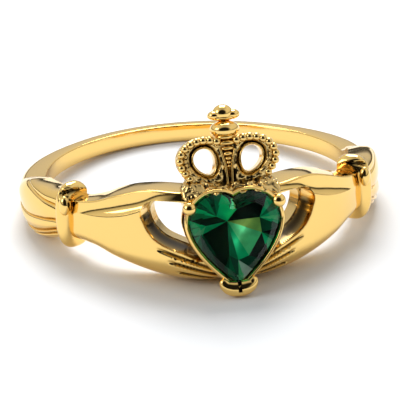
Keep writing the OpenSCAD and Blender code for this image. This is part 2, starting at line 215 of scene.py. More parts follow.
def makeSleeves():
    f = sleeveForm
    s = np.linspace(-0.06, 1.05, 130)[:, None]
    w = np.linspace(0, 1, 150)[None, :]
    low, high, face = [c[:, None] for c in readRows(f["rows"], s[:, 0])]
    low, high, out = low * f["down"], high * f["up"], face * f["thick"]
    tall = high - low
    fade = np.clip((1.02 - s) / 0.25, 0, 1)
    side = dome(2 * w - 1, f["square"])
    lines = [0 * s - 0.02] + [c + d * s + e * s * s for c, d, e in f["folds"]] + [0 * s + 1.02]
    sag, dark = 0, 0 * (w + s)
    for a, b in zip(lines[:-1], lines[1:]):    # every pleat swells a little between its folds
        x = np.clip((w - a) / (b - a), 0, 1)
        sag = sag + f["swell"] * np.sin(np.pi * x) * (b > a)
    # each fold is a shallow groove with painted shade along it, fading towards the sleeve's far end
    for c in lines[1:-1]:
        d = np.abs(w - c) * tall / f["foldWide"]
        sag = sag - f["foldDeep"] * np.exp(-d ** 1.6)
        dark = np.maximum(dark, f["foldShade"] * np.exp(-(d * 1.9) ** 2) * fade)
    r = boreR + (out - 0.1) * (f["lip"] + (1 - f["lip"]) * side) + sag * fade * side
    z = low + tall * w
    a = f["from"] + (f["to"] - f["from"]) * s
    inner = np.concatenate([high - 0.12, low + 0.12], 1)
    rings = aroundAxis(np.concatenate([r, boreR + 0 * inner], 1), a, np.concatenate([z, inner], 1))
    right = loft("sleeve_right", rings, marks={"crevice_shade": np.concatenate([dark * side, 0 * inner], 1)})
    smoothed(right, 40)
    left = copied(right, mirrorX, "sleeve_left")
    goldPieces.extend([right, left])


cuffForm = {
    "at": 58, "bar": 1.05, "up": 2.15, "down": 1.65, "reach": 1.85, "square": 2.6,
    "lobe": (56.0, 1.02, 1.62), "lobeSize": (0.34, 0.56, 0.30),    # degrees, height, stand over the bore
    "creviceDeep": 0.35, "creviceWide": 0.13,
    # line of the crevice under the cuff's curled top, cut in and given painted shade
    "crevice_shade": [(57.6, 1.66), (56.2, 1.74), (54.6, 1.70), (53.4, 1.45), (53.3, 1.05), (54.0, 0.62)],
}


def creviceMask(line, a, z, wide):
    line = catmullRows(line, 8)
    scale = 10.45 * math.pi / 180    # mm to a degree
    d = np.min([np.hypot((a - p) * scale, z - q) for p, q in line], axis=0)
    return np.exp(-(d / wide) ** 2)


def makeCuffs():
    f = cuffForm
    core = f["bar"] / 2
    t = np.radians(np.linspace(-90, 90, 45))[:, None]
    p = np.radians(np.linspace(0, 360, 181)[:-1])[None, :]
    g = core * np.cos(t)
    a = f["at"] + np.degrees(core * np.sin(t) / (boreR + 1.7)) + 0 * p
    low, high, out = core - f["down"] - g, f["up"] - core + g, f["reach"] - core + g
    e = f["square"]
    x = np.sign(np.cos(p)) * np.abs(np.cos(p)) ** (2 / e)
    y = np.sign(np.sin(p)) * np.abs(np.sin(p)) ** (2 / e)
    z = (low + high) / 2 + y * (high - low) / 2
    r = (out - 0.4) / 2 + x * (out + 0.4) / 2
    # painted shade in the crevice; the same mask cuts the crevice in
    dark = creviceMask(f["crevice_shade"], a, z, f["creviceWide"]) * (r > 0.6)
    r = np.maximum(r - f["creviceDeep"] * dark, 0)
    right = loft("cuff_right", aroundAxis(boreR + r, a, z), marks={"crevice_shade": dark})
    deg, up, stand = f["lobe"]
    wide, tall, deep = f["lobeSize"]
    bpy.ops.mesh.primitive_uv_sphere_add(segments=40, ring_count=24, radius=1,
                                         location=(0, -boreR - stand, up), scale=(wide, deep, tall))
    lobe = bpy.context.object
    bpy.ops.object.transform_apply(location=True, rotation=True, scale=True)
    moved(lobe, Matrix.Rotation(math.radians(deg), 4, "Z"))
    right = joined("cuff_right", [right, lobe])
    smoothed(right, 50)
    left = copied(right, mirrorX, "cuff_left")
    goldPieces.extend([right, left])


handForm = {
    "palmRound": 2.7, "lift": 0.075,    # lift: keeps the inner corner clear of what the ring lies on
    # the right hand by degrees from the heart: lower edge, upper edge of the palm, front edge of the thumb's
    # top, its back edge, then how far palm and thumb stand over the finger hole
    #          deg   low    edge  front  back   palm  thumb
    "rows": [(60.5, -1.16, 0.74, 1.30, 1.38, 1.30, 1.22), (54, -1.15, 0.75, 1.32, 1.45, 1.40, 1.30),
             (50, -1.12, 0.77, 1.40, 1.55, 1.50, 1.38), (44, -1.25, 0.84, 1.62, 1.84, 1.66, 1.44),
             (38, -1.64, 0.98, 2.00, 2.24, 1.80, 1.50), (32, -1.98, 1.24, 2.36, 2.54, 1.90, 1.58),
             (27, -2.24, 1.60, 2.60, 2.66, 1.98, 1.72), (22, -2.47, 2.10, 2.66, 2.70, 2.06, 1.88),
             (17, -2.63, 2.30, 2.62, 2.66, 2.18, 2.04), (13, -2.73, 2.30, 2.60, 2.62, 2.28, 2.12),
             (8, -2.76, 2.20, 2.50, 2.52, 2.42, 2.20), (3, -2.70, 2.00, 2.40, 2.42, 2.46, 2.20),
             (1, -2.68, 1.90, 2.30, 2.34, 2.46, 2.20)],
    "cove": 0.30,    # how fast the thumb's face falls back behind the palm's edge
    # outline of the sunken ledge round the gap; its lower side, the first groove, gets a line of painted
    # shade
    "ledge": [(27.0, 1.22), (26.3, 0.95), (25.2, 0.50), (23.4, 0.05), (21.0, -0.28), (18.0, -0.52),
              (14.6, -0.74), (9, -1.1), (7, 0.2), (9, 2.0), (14, 2.06), (19, 2.10), (23.5, 2.04),
              (25.8, 1.82), (26.9, 1.5)],
    # the last of these is the width of the painted shade along the ledge's lower wall
    "ledgeHigh": 0.80, "ledgeWall": 0.17, "ledgeShade": 0.11,
    "grain": (2.0, 0.06),    # scale and height
    "behind": 0.35,    # height behind the stone
    # outline of the gap between thumb and fingers
    "gap": [(25.8, 1.02), (25.9, 1.40), (24.2, 1.80), (21, 1.96), (17, 1.98), (13, 1.95), (10, 1.6), (9, 0.2),
            (10, -0.86), (14.2, -0.62), (17.6, -0.40), (20.6, -0.16), (22.9, 0.16), (24.8, 0.58)],
    # grooves between the fingers: degrees and height of both ends, sag, width, depth
    "creases": [(22.8, -0.60, 6.5, -1.70, 0.02, 0.085, 0.20), (19.6, -1.28, 5.0, -2.10, 0.00, 0.080, 0.18),
                (17.6, -1.90, 5.0, -2.42, 0.00, 0.075, 0.16)],
}


def polyDistance(poly, a, z, scale):    # signed distance in mm, negative inside
    px, pz = poly[:, 0] * scale, poly[:, 1]
    x = a * scale
    best = np.full(np.shape(x), 1e9)
    inside = np.zeros(np.shape(x), bool)
    for i in range(len(px)):
        j = (i + 1) % len(px)
        ex, ez = px[j] - px[i], pz[j] - pz[i]
        wx, wz = x - px[i], z - pz[i]
        t = np.clip((wx * ex + wz * ez) / (ex * ex + ez * ez), 0, 1)
        best = np.minimum(best, np.hypot(wx - t * ex, wz - t * ez))
        cross = (pz[i] > z) != (pz[j] > z)
        with np.errstate(divide="ignore", invalid="ignore"):
            inside ^= cross & (x < ex * (z - pz[i]) / (ez if ez else 1e-9) + px[i])
    return np.where(inside, -best, best)


def makeHands():
    f = handForm
    rows = catmullRows(sorted(f["rows"], key=lambda r: -r[0]), 10)
    degs = np.concatenate([np.linspace(60.5, 29, 90), np.linspace(28.8, -0.05, 196)])
    low, edge, front, back, palm, thumb = [np.interp(-degs, -rows[:, 0], rows[:, k])[:, None]
                                           for k in range(1, 7)]
    a = degs[:, None]
    # rising face: underside, palm up to its edge, then the thumb's cove
    mid = (low + np.minimum(edge, 0.5)) / 2
    x = 1 - np.linspace(0, 1, 60)[None, :]
    zLow = mid - (mid - low) * np.sin(np.pi / 2 * x) ** (2 / f["palmRound"])
    rLow = palm * np.cos(np.pi / 2 * x) ** (2 / f["palmRound"])
    zLow = zLow + f["lift"] * (1 - rLow / palm) ** 2
    x = np.linspace(0, 1, 120)[None, 1:]
    zPalm = mid + (edge - mid) * (1 - (1 - x) ** 1.3)
    rPalm = palm - 0.03 * np.exp((zPalm - edge) / 0.10)
    x = np.linspace(0, 1, 41)[None, 1:]
    zHigh = edge + (front - 0.06 - edge) * x ** 1.3
    above = zHigh - edge
    rHigh = thumb + (palm - thumb - 0.03) * np.exp(-above / f["cove"])
    zHigh, rHigh = np.concatenate([zPalm, zHigh], 1), np.concatenate([rPalm, rHigh], 1)
    # top of the thumb: rounded front edge, then a slope up to the back edge
    t = np.linspace(0, 1, 14)[None, :]
    rEdge = thumb - 0.12 * (1 - np.cos(np.pi / 2 * t))
    zEdge = front - 0.06 + 0.10 * np.sin(np.pi / 2 * t)
    w = np.linspace(0, 1, 24)[None, 1:]
    rTop = (thumb - 0.12) * (1 - w) + 0.25 * w
    zTop = (front + 0.04) * (1 - w) + back * w + 0.03 * np.sin(np.pi * w)
    tail = np.linspace(0, 1, 8)[None, 1:]
    rTail, zTail = 0.25 * np.cos(np.pi / 2 * tail) + 0.0 * a, back - 0.10 * np.sin(np.pi / 2 * tail)
    r = np.concatenate([rLow, rHigh, rEdge, rTop, rTail], 1)
    z = np.concatenate([zLow, zHigh, zEdge, zTop, zTail], 1)
    r, z = np.broadcast_arrays(r, z)
    r, z, aa = r.copy(), z.copy(), np.broadcast_to(a, r.shape)
    # sunken ledge, and painted shade along its lower side
    scale = 10.4 * math.pi / 180    # mm to a degree
    ledge = catmullRows(f["ledge"] + [f["ledge"][0]], 6)[:-1]
    d = polyDistance(ledge, aa, z, scale)
    sink = np.clip(0.5 - d / f["ledgeWall"], 0, 1)
    sink = sink * sink * (3 - 2 * sink)
    face = (z < front - 0.2)
    grainScale, grainHigh = f["grain"]
    grain = [noise.noise(Vector((p, q, 0)) * grainScale) for p, q in zip((aa * scale).ravel(), z.ravel())]
    ledgeR = np.minimum(f["ledgeHigh"] + grainHigh * np.array(grain).reshape(r.shape), r)
    r = np.where(face, r * (1 - sink) + ledgeR * sink, r)
    # painted shade along the ledge's lower wall, only low on the hand's face
    lowerSide = np.clip((1.3 - z) / 0.3, 0, 1)
    dark = np.exp(-((d + 0.02) / f["ledgeShade"]) ** 2) * lowerSide * face
    rough = sink * face
    for a0, h0, a1, h1, sag, width, deep in f["creases"]:
        t = np.clip((a0 - aa) / (a0 - a1), 0, 1)
        line = h0 + (h1 - h0) * t + sag * np.sin(np.pi * t)
        off = (z - line) * math.cos(math.atan((h1 - h0) / ((a0 - a1) * scale)))
        cut = np.exp(-np.abs(off / width) ** 3) * np.clip(5 * t, 0, 1) * (t > 0) * (t < 1)
        r = r - deep * cut * (r > 0.8)
        # painted shade in the grooves between the fingers
        dark = np.maximum(dark, 0.8 * cut)
    # painted shade of the cuff's crevice carried onto the hand
    dark = np.maximum(dark, creviceMask(cuffForm["crevice_shade"], aa, z, 0.10) * (r > 0.6))
    # the hand stays behind the stone
    lean = math.radians(heartLean)
    hx, hy = (boreR + r) * np.sin(np.radians(aa)), -(boreR + r) * np.cos(np.radians(aa)) + heartAt
    fromStone = polyDistance(heartLine(0, 24), hx, hy * math.cos(lean) + z * math.sin(lean), 1)
    behind = np.clip((0.10 - fromStone) / 0.06, 0, 1)
    r = r * (1 - behind) + np.minimum(r, f["behind"]) * behind
    inner = np.linspace(0, 1, 26)[None, 1:-1]
    zIn = (back - 0.10) * (1 - inner) + (low + f["lift"]) * inner
    rings = aroundAxis(boreR + np.concatenate([np.maximum(r, 0), 0 * zIn], 1),
                       np.broadcast_to(a, (len(degs), r.shape[1] + zIn.shape[1])),
                       np.concatenate([z, zIn], 1))
    right = loft("hand_right", rings, marks={"crevice_shade": np.concatenate([dark, 0 * zIn], 1),
                                             "cast": np.concatenate([rough, 0 * zIn], 1)})
    gap = catmullRows(f["gap"] + [f["gap"][0]], 6)[:-1]
    prism = loft("gap_cutter", [[aroundAxis(r, a, z) for a, z in gap] for r in (boreR - 2, boreR + 4)])
    cutAway(right, prism)
    at = np.array([v.co[:] for v in right.data.vertices])
    wall = np.abs(polyDistance(gap, np.degrees(np.arctan2(at[:, 0], -at[:, 1])), at[:, 2], scale)) < 0.015
    for i in np.nonzero(wall)[0]:    # the gap's walls are left as cast
        right.data.attributes["cast"].data[i].value = 1
    smoothed(right, 40)
    left = copied(right, mirrorX, "hand_left")
    goldPieces.extend([right, left])


heartForm = {
    "half": 2.55, "lobeR": 0.647, "lobeX": 0.353, "lobeY": 0.433, "pull": (0.96, -0.19), "tipY": -0.979,
    #          outside  depth: the wall's profile from the stone's girdle outwards and down
    "wall": [(-0.10, -0.16), (-0.02, 0.02), (0.03, 0.13), (0.12, 0.17), (0.20, 0.12), (0.23, 0.0),
             (0.21, -0.22), (0.10, -0.42), (0.03, -0.62), (0.06, -0.85), (0.17, -1.02), (0.17, -1.55),
             (0.0, -1.75), (-0.2, -2.3), (-0.5, -2.9)],
    "thick": 0.28,    # the lowest rings are repeated this far inside, as the wall's inner face
}


def heartLine(grow, steps=36):    # right half from the cleft to the tip, then the left half
    f = heartForm
    h, lr = f["half"], f["lobeR"]
    big = lr + grow / h
    start = math.pi - math.acos(min(f["lobeX"] / big, 1))
    pts = [(f["lobeX"] + big * math.cos(t), f["lobeY"] + big * math.sin(t))
           for t in np.linspace(start, 0, steps)]
    p0, p1, p2 = np.array([f["lobeX"] + lr, f["lobeY"]]), np.array(f["pull"]), np.array([0, f["tipY"]])
    for t in np.linspace(0, 1, steps)[1:]:
        p = p0 * (1 - t) ** 2 + p1 * 2 * t * (1 - t) + p2 * t * t
        d = 2 * (1 - t) * (p1 - p0) + 2 * t * (p2 - p1)
        n = np.array([-d[1], d[0]]) / np.linalg.norm(d)
        pts.append(tuple(p + n * grow / h))
    pts[-1] = (0, f["tipY"] - 1.25 * grow / h)
    right = np.array(pts) * h
    left = right[1:-1][::-1] * [-1, 1]
    return np.concatenate([right, left])


def makeSetting():
    rings = [[(x, y, d) for x, y in heartLine(g)] for g, d in heartForm["wall"]]
    inner = heartForm["wall"][::-1]
    rings += [[(x, y, d + 0.1) for x, y in heartLine(g - heartForm["thick"])] for g, d in inner[:4]]
    setting = loft("heart_setting", rings, closed=True)
    smoothed(setting, 45)
    moved(setting, heartFrame)
    goldPieces.append(setting)


clawForm = {
    "ball": 0.38, "x": 2.47, "y": 2.05, "stand": 0.24, "stem": 1.3,
    "vee": 0.46, "leg": 0.90, "rise": 0.62, "slit": 0.16,    # bar bent round the heart's tip, and its slit
    # half of the bar's line, by shares of leg and rise
    "bend": [(1, 1), (0.80, 0.44), (0.45, 0.14)], "low": 0.06,
}


def makeClaws():
    f = clawForm
    parts = []
    for side in (-1, 1):
        claw = ball(side * f["x"], f["y"], f["stand"], (f["ball"], f["ball"], 0.9 * f["ball"]), 40)
        bpy.ops.object.mode_set(mode="EDIT")
        bpy.ops.mesh.select_all(action="DESELECT")
        bpy.ops.object.mode_set(mode="OBJECT")
        for p in claw.data.polygons:
            p.select = p.center.z < -0.04
        bpy.ops.object.mode_set(mode="EDIT")
        bpy.ops.mesh.extrude_region_move(TRANSFORM_OT_translate={"value": (0, 0, -f["stem"])})
        bpy.ops.object.mode_set(mode="OBJECT")
        parts.append(claw)
    claws = joined("ball_claws", parts)
    smoothed(claws, 60)
    moved(claws, heartFrame)
    goldPieces.append(claws)
    tip = heartForm["tipY"] * heartForm["half"]
    leg, rise = f["leg"], f["rise"]
    path = [(-x * leg, y * rise) for x, y in f["bend"]] + [(0, f["low"] * rise)]
    path += [(x * leg, y * rise) for x, y in f["bend"][::-1]]
    line = catmullRows([(x, y - 0.16) for x, y in path], 14)
    turn = np.linspace(0, 2 * math.pi, 41)[:-1]
    rings = []
    d = np.gradient(line, axis=0)
    for i, (p, q) in enumerate(zip(line, d)):
        n = np.array([-q[1], q[0]]) / np.linalg.norm(q)
        size = f["vee"] * dome(np.array((2 * i / (len(line) - 1) - 1) * 0.985), 2.1)
        rings.append([(p[0] + n[0] * size * math.cos(t), tip + p[1] + n[1] * size * math.cos(t),
                       0.05 + 0.85 * size * math.sin(t)) for t in turn])
    vee = loft("vee_claw", rings, marks={"crevice_shade": np.zeros((len(line), len(turn)))})
    w, foot = f["slit"] / 2, tip - 0.16
    slit = [(-w, tip + 0.5), (w, tip + 0.5), (w, foot), (w * 1.25, foot - 0.05), (w * 0.9, foot - 0.12),
            (-w * 0.9, foot - 0.12), (-w * 1.25, foot - 0.05), (-w, foot)]
    cutAway(vee, loft("slit_cutter", [[(x, y, z) for x, y in slit] for z in (0.12, 1.2)]))
    for v in vee.data.vertices:    # the slit and its edges get painted shade
        if abs(v.co.x) < 1.3 * w and v.co.y > foot - 0.13 and v.co.z > 0.1:
            vee.data.attributes["crevice_shade"].data[v.index].value = 1
    smoothed(vee, 60)
    moved(vee, heartFrame)
    goldPieces.append(vee)


crownForm = {
    # right half of the row of beads, from the orb outwards and down
    "arch": [(0.55, 2.92), (1.02, 3.02), (1.55, 3.00), (2.05, 2.84), (2.44, 2.54), (2.64, 2.14), (2.62, 1.72),
             (2.42, 1.34), (2.16, 1.02)],
    "beads": 11, "bead": 0.25, "grains": 19, "grain": 0.095,
    # outline of one side's plate, past the row of beads
    "outline": [(-0.03, 0.30), (-0.03, 2.90), (0.55, 3.06), (1.05, 3.15), (1.60, 3.13), (2.14, 2.96),
                (2.57, 2.62), (2.78, 2.17), (2.76, 1.68), (2.56, 1.26), (2.36, 0.95), (2.40, 0.35)],
    "hole": {"x": 1.27, "y": 1.86, "halfW": 0.55, "halfH": 0.72, "lean": 24, "taper": 0.20},
    #               mm from the hole's edge, height over the plate's face, painted shade
    "rim": [(0.0, -0.85, 0), (0.0, -0.45, 0), (0.0, -0.12, 0), (0.01, 0.02, 0), (0.04, 0.10, 0),
            (0.08, 0.11, 0), (0.12, 0.07, 0), (0.145, -0.01, 0.4), (0.165, -0.09, 1), (0.180, -0.10, 1),
            (0.20, -0.06, 0.7), (0.235, 0.0, 0)],
    #                 share of the way from the rim's groove to the outline, height, painted shade
    "face": [(0.03, 0.06, 0.1), (0.12, 0.10, 0), (0.25, 0.10, 0), (0.38, 0.06, 0), (0.5, 0.0, 0.15),
             (0.64, -0.02, 0.3), (0.8, -0.08, 0.2), (0.92, -0.2, 0), (0.98, -0.34, 0), (1.0, -0.5, 0),
             (1.0, -0.72, 0), (0.97, -0.82, 0), (0.85, -0.85, 0), (0.3, -0.85, 0)],
    "rimWide": 0.28, "lumps": 0.09, "streaks": 1.875, "faceCast": 0.8, "beadCast": 0.45,
    "orb": (0.82, 0.50, 3.52), "knob": 4.33,    # orb: half width, half height, place
    # the knob's dome, side lobes and ring: place by the knob's height, then half sizes
    "knobParts": [(-0.04, 0.10, -0.35, (0.56, 0.46, 0.5)), (-0.50, -0.02, -0.33, (0.40, 0.27, 0.36)),
                  (0.50, -0.02, -0.33, (0.40, 0.28, 0.36)), (0, -0.16, -0.35, (0.66, 0.20, 0.42))],
    # stack on the pillar: height, half width, half height
    "lenses": [(2.80, 0.40, 0.13), (2.50, 0.34, 0.11), (2.22, 0.25, 0.12), (1.96, 0.19, 0.10),
               (1.74, 0.14, 0.10), (1.54, 0.11, 0.08)],
    # lines down the pillar's right side
    "bar": [(0.40, 2.45), (0.27, 1.95), (0.17, 1.45), (0.13, 0.55)],
    "slot": [(0.33, 1.35), (0.30, 1.0), (0.29, 0.62)],
    # foot by distance across: lower and upper edge, how far its lower edge comes forward
    "foot": [(-2.72, -0.15, 0.75, 0.45), (-2.30, -0.12, 1.05, 0.60), (-1.80, 0.00, 1.05, 0.70),
             (-1.20, 0.05, 0.88, 0.75), (-0.65, 0.10, 0.66, 0.75), (0.0, 0.14, 0.50, 0.70),
             (0.6, 0.10, 0.64, 0.75), (1.20, 0.05, 0.76, 0.75), (1.80, 0.00, 0.86, 0.70),
             (2.30, -0.12, 0.84, 0.60), (2.72, -0.25, 0.55, 0.45)],
}


def holeLine(grow, count=72):
    h = crownForm["hole"]
    out = []
    for t in np.linspace(0, 2 * math.pi, count + 1)[:-1]:
        w = (h["halfW"] + grow) * (1 + h["taper"] * math.sin(t)) * math.cos(t)
        v = (h["halfH"] + grow) * math.sin(t)
        c, s = math.cos(math.radians(h["lean"])), math.sin(math.radians(h["lean"]))
        out.append((h["x"] + w * c + v * s, h["y"] - w * s + v * c))
    return np.array(out)


def tubeAlong(name, line, size, depth, dark=0):
    rings = []
    for p, q in zip(line, np.gradient(line, axis=0)):
        n = np.array([-q[1], q[0]]) / np.linalg.norm(q) * size
        rings.append([(p[0] + n[0] * math.cos(t), p[1] + n[1] * math.cos(t), depth + size * math.sin(t))
                      for t in np.linspace(0, 2 * math.pi, 17)[:-1]])
    return loft(name, rings, marks={"crevice_shade": np.full((len(line), 16), dark)})


def lineReach(middle, line, toward):    # distance from the middle to the outline in each direction
    a = np.arctan2(line[:, 1] - middle[1], line[:, 0] - middle[0])
    order = np.argsort(a)
    r = np.hypot(*(line - middle).T)
    return np.interp(toward, a[order], r[order], period=2 * math.pi)


def crownSide():
    f = crownForm
    middle = np.array([f["hole"]["x"], f["hole"]["y"]])
    outline = np.array(f["outline"])
    between = np.linspace(0, 1, 24)[:-1, None]
    dense = np.concatenate([p + (q - p) * between for p, q in zip(outline, np.roll(outline, -1, 0))])
    edge = holeLine(0, 132)
    toward = np.arctan2(edge[:, 1] - middle[1], edge[:, 0] - middle[0])
    near = np.hypot(*(edge - middle).T)
    far = np.maximum(lineReach(middle, dense, toward), near + 0.42)
    rings, dark, cast = [], [], []
    for a, r0, r1 in zip(toward, near, far):
        deep = 0.55 + 0.45 * math.sin(a + 0.6)    # the painted shade in the groove is darkest towards the orb
        rim = [(r0 + w, z, k) for w, z, k in f["rim"]]
        face = [(r0 + f["rimWide"] + (r1 - r0 - f["rimWide"]) * w, z, k) for w, z, k in f["face"]]
        ring = []
        for r, z, k in rim + face:
            x, y = middle[0] + r * math.cos(a), middle[1] + r * math.sin(a)
            if r > r0 + 0.3 and z > -0.3:
                z += f["lumps"] * noise.noise(Vector((x, y, z)) * 5)
            ring.append((x, y, z))
        rings.append(ring)
        streak = f["streaks"] * max(0, -noise.noise(Vector(ring[-1]) * 5))    # dark streaks across the face
        dark.append([k * deep for _, _, k in rim] + [k + streak for _, _, k in face])
        cast.append([f["beadCast"]] * len(rim) + [f["faceCast"]] * len(face))
    return loft("plate", rings, closed=True, marks={"crevice_shade": dark, "cast": cast})


def makeCrown():
    f = crownForm
    arch = catmullRows(f["arch"], 8)
    halves = [crownSide()]
    step = np.concatenate([[0], np.cumsum(np.linalg.norm(np.diff(arch, axis=0), axis=1))])
    for k in range(f["beads"]):
        at = step[-1] * k / (f["beads"] - 1)
        x, y = np.interp(at, step, arch[:, 0]), np.interp(at, step, arch[:, 1])
        size = f["bead"] * (1 - 0.015 * k)
        halves.append(ball(x, y, -0.02, (size, size, size)))
    inside = holeLine(0.42, 60)    # row of small grains between the beads and the rim
    right = [(x, y) for x, y in inside if x > 0.5 and y > 1.0]
    for k in range(f["grains"]):
        x, y = right[int(k * (len(right) - 1) / (f["grains"] - 1))]
        halves.append(ball(x, y, 0.05, (f["grain"],) * 3, 12))
    halves.append(tubeAlong("back_rail", arch, 0.16, -0.62))
    right = joined("crown_right", halves)
    for d in right.data.attributes["cast"].data:    # beads and rims are half as dull as the plate
        d.value = max(d.value, f["beadCast"])
    smoothed(right, 60)
    left = copied(right, mirrorX, "crown_left")
    for o in (right, left):
        moved(o, crownFrame)
        goldPieces.append(o)
    # middle: stack of lenses on the pillar, slots painted black as shade and bright bars, orb and knob
    mid = [ball(0, y, 0.05, (w, h, 0.17)) for y, w, h in f["lenses"]]
    for side in (-1, 1):
        bar, slot = ([(side * x, y) for x, y in f[k]] for k in ("bar", "slot"))
        mid.append(tubeAlong("bar", catmullRows(bar, 8), 0.062, 0.09))
        # the slots are tubes painted black all over: painted shade
        mid.append(tubeAlong("slot", catmullRows(slot, 6), 0.085, 0.02, dark=1))
    halfW, halfH, y = f["orb"]
    mid.append(ball(0, y, -0.35, (halfW, halfH, halfW * 0.92), 48))
    mid.append(ball(0, y - 0.40, -0.32, (halfW * 0.72, 0.22, 0.5), 36))
    mid += [ball(x, f["knob"] + up, z, size, 36) for x, up, z, size in f["knobParts"]]
    middle = joined("crown_middle", mid)
    smoothed(middle, 60)
    moved(middle, crownFrame)
    goldPieces.append(middle)
    # foot: the rough saddle that joins the crown to the heart and the thumbs
    x = np.linspace(-2.70, 2.70, 170)
    low, high, front = readRows(f["foot"], x)
    t = np.linspace(0, 2 * math.pi, 97)[:-1]
    rings, dark = [], []
    for xx, lo, hi, fr in zip(x, low, high, front):
        end = float(dome(np.array(xx / 2.74), 7))
        ring, shade = [], []
        for a in t:
            v = np.sign(math.sin(a)) * abs(math.sin(a)) ** 0.6 * end
            d = np.sign(math.cos(a)) * abs(math.cos(a)) ** 0.6 * end
            y = (lo + hi) / 2 + v * (hi - lo) / 2
            z = -0.3 + (d * 0.38 if d > 0 else d * 0.45) + (fr * (0.5 - v / 2) if d > -0.2 else 0)
            spot = Vector((xx, y, z))
            fine = noise.noise(spot * 4.5 + Vector((0, 0, 7))) + 0.25 * noise.noise(spot * 9)
            g = 0.14 * noise.noise(spot * 2.2) + 0.12 * fine
            ring.append((xx, y + g * v, z + g * (0.4 + 0.6 * max(d, 0))))
            # painted shade where the fine noise sinks the surface
            shade.append(min(1, max(0, -2.4 * fine - 0.2)))
        rings.append(ring)
        dark.append(shade)
    cast = np.full((len(x), len(t)), f["faceCast"])
    foot = loft("crown_foot", rings, marks={"cast": cast, "crevice_shade": dark})
    smoothed(foot, 60)
    moved(foot, crownFrame)
    goldPieces.append(foot)


stoneForm = {
    "top": 0.38, "girdle": 0.1, "deep": 2.1, "table": 0.78, "culet": (-0.20, 0.90),
    # corners of the star of facets under the table, then the painted light of the facets, bright to dark as
    # the stone's reflections, from that corner to the next one (counter-clockwise): beside the culet, then
    # three towards the girdle
    "star": [(-1.76, 0.48, "night", "leaf", "deep", "deep"),
             (-1.19, -0.54, "night", "deep", "night", "moss"),
             (-0.33, -0.89, "moss", "moss", "deep", "pale"),
             (0.14, -1.16, "leaf", "pale", "deep", "moss"),
             (0.71, -0.92, "bright", "deep", "night", "leaf"),
             (1.51, 0.28, "olive", "night", "deep", "bright"),
             (1.48, 1.09, "night", "leaf", "night", "night"),
             (0.27, 1.61, "leaf", "night", "leaf", "moss"),
             (-0.85, 1.29, "night", "leaf", "night", "leaf"),
             (-1.54, 0.87, "leaf", "leaf", "bright", "leaf")],
    # the painted light that every second pair of small facets takes instead
    "next": {"night": "deep", "deep": "night", "moss": "deep", "leaf": "moss", "olive": "leaf",
             "bright": "leaf", "pale": "bright"},
    # painted reflections: each facet's colour stands for the light or dark it mirrors inside the stone
    "facetLight": {"night": (0.0, 0.006, 0.004), "deep": (0.0, 0.085, 0.045), "moss": (0.0, 0.27, 0.12),
              "leaf": (0.0, 0.76, 0.32), "olive": (0.42, 0.66, 0.16), "bright": (0.18, 1.0, 0.46),
              "pale": (0.9, 1.0, 0.95)},
}


def makeStone():
    f = stoneForm
    line = heartLine(-0.02, 8)
    n = len(line)
    mid = np.array([0, 0.15])
    cul = np.array(f["culet"])

    def ring(share, z, half):
        p = line * (1 - half) + np.roll(line, -1, 0) * half
        q = mid + (p - mid) * share
        return [(x, y, z) for x, y in q]
    # table, middle of the upper facets, both edges of the girdle, middle of the lower facets
    rings = [ring(f["table"], f["top"], 0), ring(0.90, 0.60 * f["top"], 0.5), ring(1, f["girdle"] / 2, 0),
             ring(1, -f["girdle"] / 2, 0), ring(0.62, -0.5 * f["deep"], 0.5)]
    verts = [p for r in rings for p in r] + [(cul[0], cul[1], -f["deep"])]
    faces = [tuple(range(n))]
    for k, kind in ((0, "zig"), (1, "zag"), (2, "quad"), (3, "zig")):
        for i in range(n):
            a, b, c, d = k * n + i, k * n + (i + 1) % n, (k + 1) * n + i, (k + 1) * n + (i + 1) % n
            faces += {"zig": [(a, c, b), (b, c, d)], "zag": [(a, c, d), (a, d, b)],
                      "quad": [(a, c, d, b)]}[kind]
    faces += [(4 * n + i, len(verts) - 1, 4 * n + (i + 1) % n) for i in range(n)]
    stone = meshPiece("cut_stone", verts, faces)
    outward(stone)
    moved(stone, heartFrame)
    return stone


